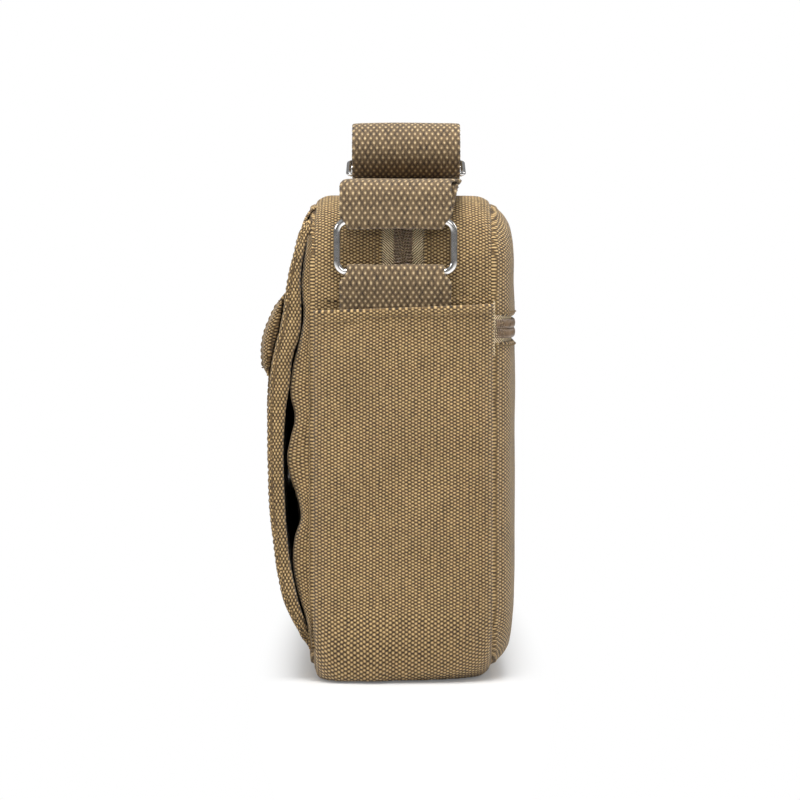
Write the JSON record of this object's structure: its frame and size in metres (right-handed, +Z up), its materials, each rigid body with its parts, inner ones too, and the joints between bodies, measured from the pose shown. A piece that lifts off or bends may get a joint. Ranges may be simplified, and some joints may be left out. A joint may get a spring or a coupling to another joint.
{
  "type": "messenger bag",
  "caption": "Canvas messenger bag standing upright, with a padded front flap, a lid pocket, zipped top and back, end pockets and a webbing strap folded on top.",
  "frame": {"origin": "middle of the base between the front and back seams, on the surface the bag stands on", "axes": "+X along the bag towards its right end as seen from the front, -Y to the front with the flap, +Z up"},
  "size_m": [0.3052, 0.1206, 0.2606],
  "materials": {
    "canvas": "washed heavy plain-weave cotton canvas",
    "webbing": "thick woven cotton webbing",
    "zip_tape": "twill tape",
    "zip_coil": "dark brown moulded coil",
    "ring_steel": "polished nickel plate",
    "zip_brass": "antique dark finish",
    "lining_cloth": "plain woven lining",
    "foam": "soft foam sheet",
    "board": "grey board",
    "snap_steel": "plated",
    "hook_tape": "hook and loop tape"
  },
  "bodies": {
    "bag": {"gusset": "canvas", "top_strip_front": "canvas", "top_strip_back": "canvas", "front_panel": "canvas", "back_panel_lower": "canvas", "back_panel_upper": "canvas", "end_pocket_right": "canvas", "end_pocket_left": "canvas", "front_pocket": "canvas", "strap_tab_right": "webbing", "strap_tab_left": "webbing", "strap_main": "webbing", "strap_return": "webbing", "strap_tail": "webbing", "main_zip_tape_front": "zip_tape", "main_zip_tape_back": "zip_tape", "back_zip_tape_lower": "zip_tape", "back_zip_tape_upper": "zip_tape", "main_zip_coil_front": "zip_coil", "main_zip_coil_back": "zip_coil", "back_zip_coil_lower": "zip_coil", "back_zip_coil_upper": "zip_coil", "adjuster_frame": "ring_steel", "adjuster_bar": "ring_steel", "lining": "lining_cloth", "inner_pocket": "lining_cloth", "back_pocket_lining": "lining_cloth", "base_board": "board", "pocket_magnet_snaps": "snap_steel"},
    "main_flap": {"main_flap": "canvas", "flap_padding": "foam", "flap_lining": "lining_cloth", "flap_magnet_snaps": "snap_steel", "flap_pocket": "canvas", "pocket_loop_tape": "hook_tape"},
    "pocket_lid": {"pocket_lid": "canvas", "lid_hook_tape": "hook_tape"},
    "main_zip_slider": {"main_zip_slider": "zip_brass"},
    "main_zip_pull": {"main_zip_pull": "zip_brass"},
    "back_zip_slider": {"back_zip_slider": "zip_brass"},
    "back_zip_pull": {"back_zip_pull": "zip_brass"},
    "ring_right": {"ring_right": "ring_steel", "strap_end_right": "webbing"},
    "ring_left": {"ring_left": "ring_steel", "strap_end_left": "webbing"}
  },
  "joints": [
    {"name": "flap_open", "type": "hinge", "parent": "bag", "child": "main_flap", "pos_m": [0, -0.0456, 0.2166], "axis": [-1, 0, 0], "range_deg": [0, 140]},
    {"name": "lid_open", "type": "hinge", "parent": "main_flap", "child": "pocket_lid", "pos_m": [0, -0.0559, 0.18], "axis": [-1, 0, 0], "range_deg": [0, 95]},
    {"name": "main_zip_travel", "type": "slide", "parent": "bag", "child": "main_zip_slider", "axis": [1, 0, 0], "range_m": [0, 0.14]},
    {"name": "main_pull_turn", "type": "hinge", "parent": "main_zip_slider", "child": "main_zip_pull", "pos_m": [-0.1, 0, 0.227], "axis": [0, 1, 0], "range_deg": [0, 175]},
    {"name": "back_zip_travel", "type": "slide", "parent": "bag", "child": "back_zip_slider", "axis": [1, 0, 0], "range_m": [0, 0.238]},
    {"name": "back_pull_turn", "type": "hinge", "parent": "back_zip_slider", "child": "back_zip_pull", "pos_m": [-0.12, 0.0534, 0.163], "axis": [0, 0, 1], "range_deg": [0, 175]},
    {"name": "ring_right_swing", "type": "hinge", "parent": "bag", "child": "ring_right", "pos_m": [0.1488, 0, 0.189], "axis": [0, 1, 0], "range_deg": [0, 25]},
    {"name": "ring_left_swing", "type": "hinge", "parent": "bag", "child": "ring_left", "pos_m": [-0.1488, 0, 0.189], "axis": [0, -1, 0], "range_deg": [0, 25]}
  ]
}
